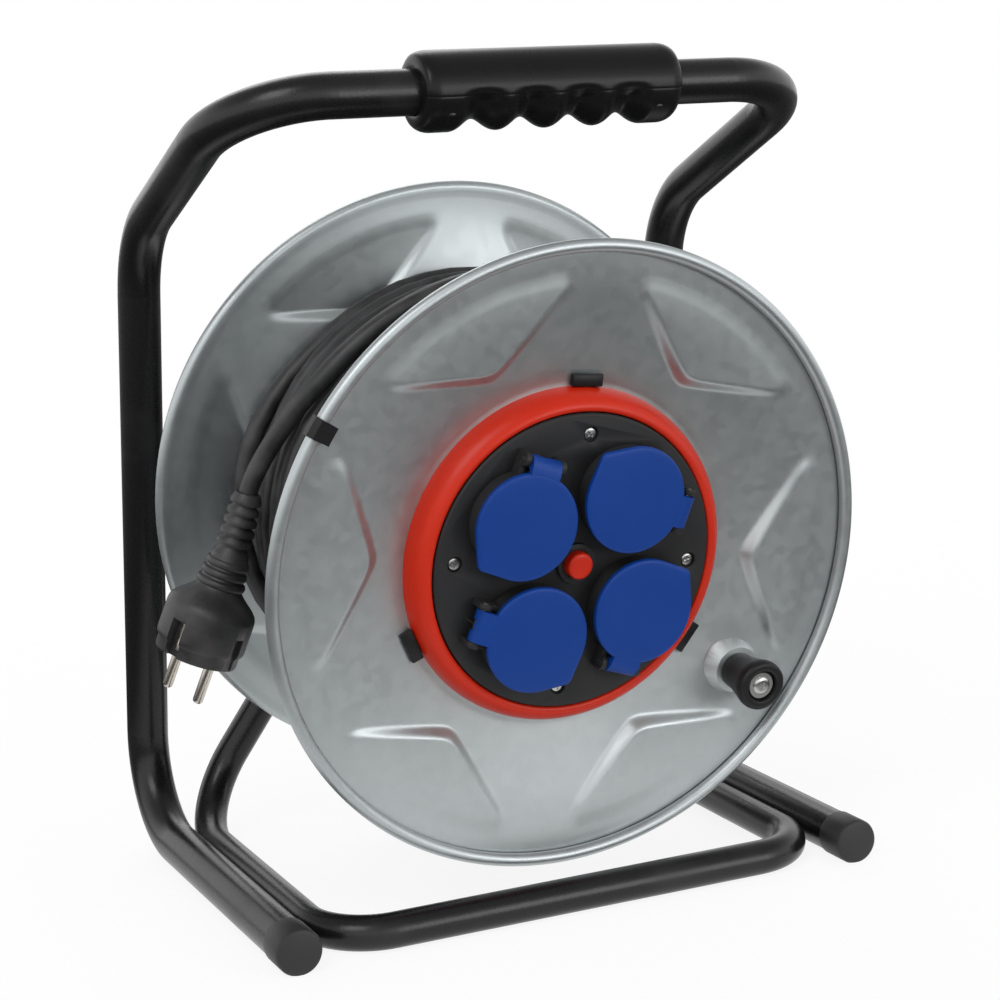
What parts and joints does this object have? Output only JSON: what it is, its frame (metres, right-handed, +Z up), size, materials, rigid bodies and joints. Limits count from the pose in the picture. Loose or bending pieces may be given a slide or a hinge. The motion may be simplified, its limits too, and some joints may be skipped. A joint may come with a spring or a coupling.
{
  "type": "extension cord reel",
  "caption": "Leaning tubular stand with a finger-grooved grip, carrying a dished sheet-steel cable drum with lidded sockets, reset button, winding knob, wound rubber cable and moulded plug.",
  "frame": {"origin": "on the floor, in the middle of the reel's own footprint, without the cable and plug", "axes": "+Z up, +X to the right seen from the socket side, +Y away from the sockets, towards the legs"},
  "size_m": [0.3096, 0.225, 0.3852],
  "materials": {
    "coated_steel": "black semi-gloss powder coat",
    "zinc_sheet": "galvanised sheet, satin",
    "bright_steel": "zinc-plated, bright",
    "pin_metal": "nickel-plated",
    "black_plastic": "fine-grained moulded plastic",
    "dark_plastic": "smooth moulded plastic",
    "nylon": "natural nylon",
    "red_plastic": "gloss",
    "blue_plastic": "semi-gloss",
    "rubber": "matt rubber",
    "brass": "plain"
  },
  "bodies": {
    "stand": {"hoop_tube": "coated_steel", "inner_frame_tube": "coated_steel", "axle_plate": "coated_steel", "axle_spindle": "bright_steel", "spindle_bolts": "bright_steel", "spindle_nuts": "bright_steel", "spindle_retainer": "bright_steel", "foot_cap_left": "black_plastic", "foot_cap_right": "black_plastic", "grip_upper_shell": "black_plastic", "grip_lower_shell": "black_plastic", "grip_screws": "bright_steel"},
    "drum": {"front_flange": "zinc_sheet", "rear_flange": "zinc_sheet", "drum_core": "zinc_sheet", "hub_carrier": "black_plastic", "hub_bushes": "nylon", "hub_rivets": "bright_steel", "socket_housing": "black_plastic", "socket_ring": "red_plastic", "ring_latches": "black_plastic", "socket_plate": "black_plastic", "plate_screws": "bright_steel", "socket_insert_1": "dark_plastic", "socket_insert_2": "dark_plastic", "socket_insert_3": "dark_plastic", "socket_insert_4": "dark_plastic", "socket_contacts": "brass", "earth_clips": "bright_steel", "lid_pins": "bright_steel", "lid_springs": "bright_steel", "thermal_cutout": "dark_plastic", "rim_clip": "black_plastic", "knob_seat": "zinc_sheet", "knob_axle": "bright_steel", "knob_nut": "bright_steel", "cable_pack": "rubber", "cable_winding": "rubber", "cable_lead": "rubber", "plug_relief": "rubber", "plug_body": "rubber", "plug_pins": "pin_metal", "plug_earth_strips": "pin_metal"},
    "lid_1": {"socket_lid_1": "blue_plastic"},
    "lid_2": {"socket_lid_2": "blue_plastic"},
    "lid_3": {"socket_lid_3": "blue_plastic"},
    "lid_4": {"socket_lid_4": "blue_plastic"},
    "button": {"reset_button": "red_plastic"},
    "knob": {"winding_knob": "black_plastic"}
  },
  "joints": [
    {"name": "drum_spin", "type": "hinge", "parent": "stand", "child": "drum", "pos_m": [0, -0.09151, 0.16084], "axis": [0, -0.9919, -0.1271], "continuous": true},
    {"name": "lid_1_hinge", "type": "hinge", "parent": "drum", "child": "lid_1", "pos_m": [0.04947, -0.10115, 0.18024], "axis": [0.3256, -0.1201, 0.9379], "range_deg": [0, 100], "stiffness_Nm_per_rad": 0.02, "springref_deg": -20.05},
    {"name": "lid_2_hinge", "type": "hinge", "parent": "drum", "child": "lid_2", "pos_m": [-0.02047, -0.10484, 0.209], "axis": [-0.9455, -0.0414, 0.3229], "range_deg": [0, 100], "stiffness_Nm_per_rad": 0.02, "springref_deg": -20.05},
    {"name": "lid_3_hinge", "type": "hinge", "parent": "drum", "child": "lid_3", "pos_m": [-0.04947, -0.09595, 0.13963], "axis": [-0.3256, 0.1201, -0.9379], "range_deg": [0, 100], "stiffness_Nm_per_rad": 0.02, "springref_deg": -20.05},
    {"name": "lid_4_hinge", "type": "hinge", "parent": "drum", "child": "lid_4", "pos_m": [0.02047, -0.09227, 0.11087], "axis": [0.9455, 0.0414, -0.3229], "range_deg": [0, 100], "stiffness_Nm_per_rad": 0.02, "springref_deg": -20.05},
    {"name": "reset_press", "type": "slide", "parent": "drum", "child": "button", "axis": [0, 0.9919, 0.1271], "range_m": [0, 0.0025], "stiffness_N_per_m": 400, "springref_m": -0.0005},
    {"name": "knob_spin", "type": "hinge", "parent": "drum", "child": "knob", "pos_m": [0.0898, -0.08322, 0.09612], "axis": [0, -0.9919, -0.1271], "continuous": true}
  ]
}
